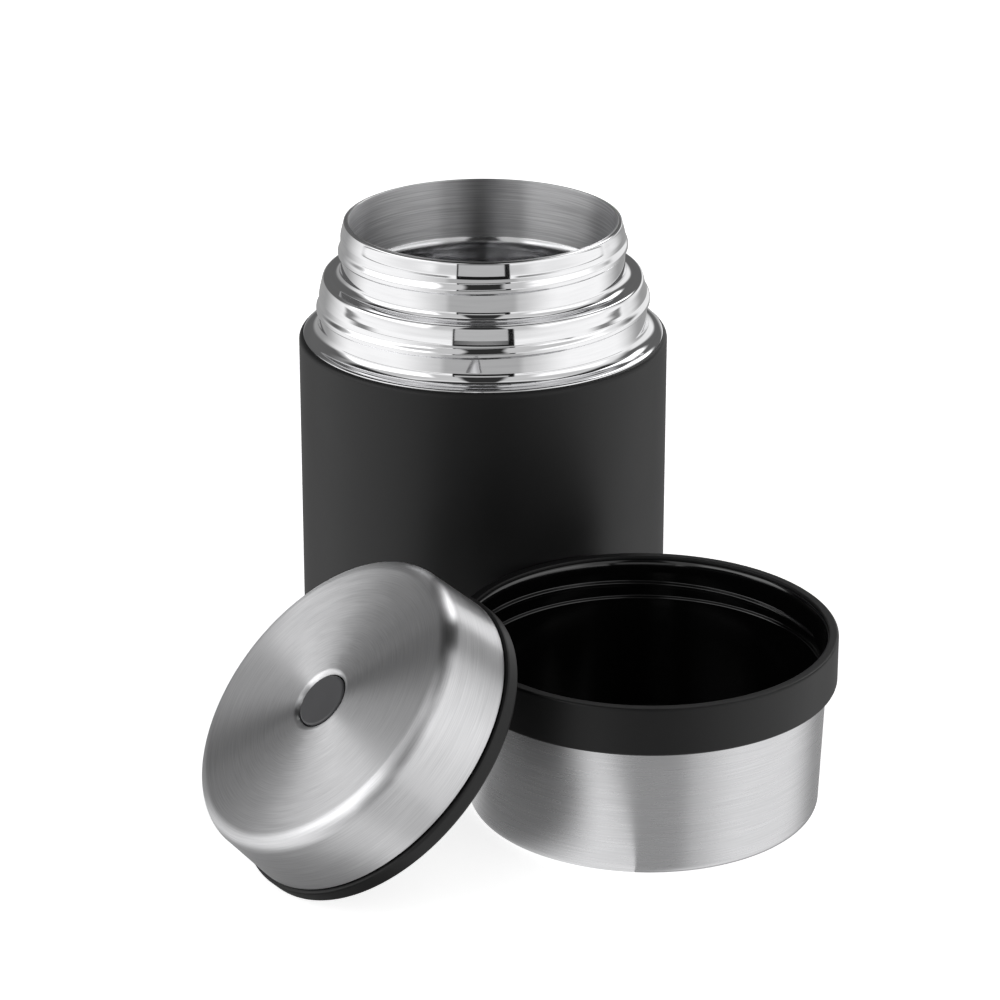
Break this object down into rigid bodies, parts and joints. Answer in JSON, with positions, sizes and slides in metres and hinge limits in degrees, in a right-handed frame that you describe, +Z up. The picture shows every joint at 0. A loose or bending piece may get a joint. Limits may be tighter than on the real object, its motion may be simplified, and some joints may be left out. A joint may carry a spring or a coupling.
{
  "type": "insulated food jar",
  "caption": "Wide-mouth vacuum food jar, open, with its brushed-steel screw lid leaning on its screw-on cup beside it.",
  "frame": {"origin": "centre of the flat disc that the jar stands on, on the jar's axis", "axes": "+Z up along the jar's axis; +X to the right and -Y towards the viewer of the picture, with the cup and the lid on the -Y side"},
  "size_m": [0.1601, 0.22, 0.127],
  "materials": {
    "coated_steel": "matte powder coat",
    "polished_steel": "mirror polish",
    "brushed_steel": "fine turned brushing",
    "plain_steel": "pressed sheet",
    "copper_foil": "bright foil",
    "getter_metal": "pressed powder",
    "seal_metal": "brazed",
    "black_plastic": "matte",
    "gloss_plastic": "gloss",
    "grey_plastic": "satin",
    "white_plastic": "natural",
    "foam": "rigid foam",
    "silicone": "satin",
    "spring_steel": "drawn wire"
  },
  "bodies": {
    "jar": {"outer_body": "coated_steel", "neck_sleeve": "polished_steel", "inner_vessel": "brushed_steel", "heat_foil": "copper_foil", "getter": "getter_metal", "outer_base": "plain_steel", "vacuum_seal": "seal_metal", "base_cover": "black_plastic"},
    "cup": {"cup_shell": "brushed_steel", "cup_liner": "gloss_plastic", "cup_collar": "black_plastic"},
    "gasket": {"lid_gasket": "silicone"},
    "lid": {"lid_cap": "brushed_steel", "lid_body": "black_plastic", "plug_cup": "black_plastic", "lid_insulation": "foam", "vent_spring": "spring_steel"},
    "vent": {"vent_button": "grey_plastic", "vent_stem": "white_plastic", "vent_valve": "silicone"}
  },
  "joints": [
    {"name": "cup_lift", "type": "slide", "parent": "jar", "child": "cup", "axis": [0.8, 0, 0.6], "range_m": [0, 0.15]},
    {"name": "lid_lift", "type": "slide", "parent": "jar", "child": "gasket", "axis": [-0.6272, -0.3265, 0.7071], "range_m": [0, 0.08]},
    {"name": "lid_turn", "type": "hinge", "parent": "gasket", "child": "lid", "pos_m": [-0.02432, -0.12459, 0.03007], "axis": [-0.6272, -0.3265, 0.7071], "continuous": true},
    {"name": "vent_press", "type": "slide", "parent": "lid", "child": "vent", "axis": [0.6272, 0.3265, -0.7071], "range_m": [0, 0.002], "stiffness_N_per_m": 300, "springref_m": -0.003, "deforming": ["vent_spring"]}
  ]
}
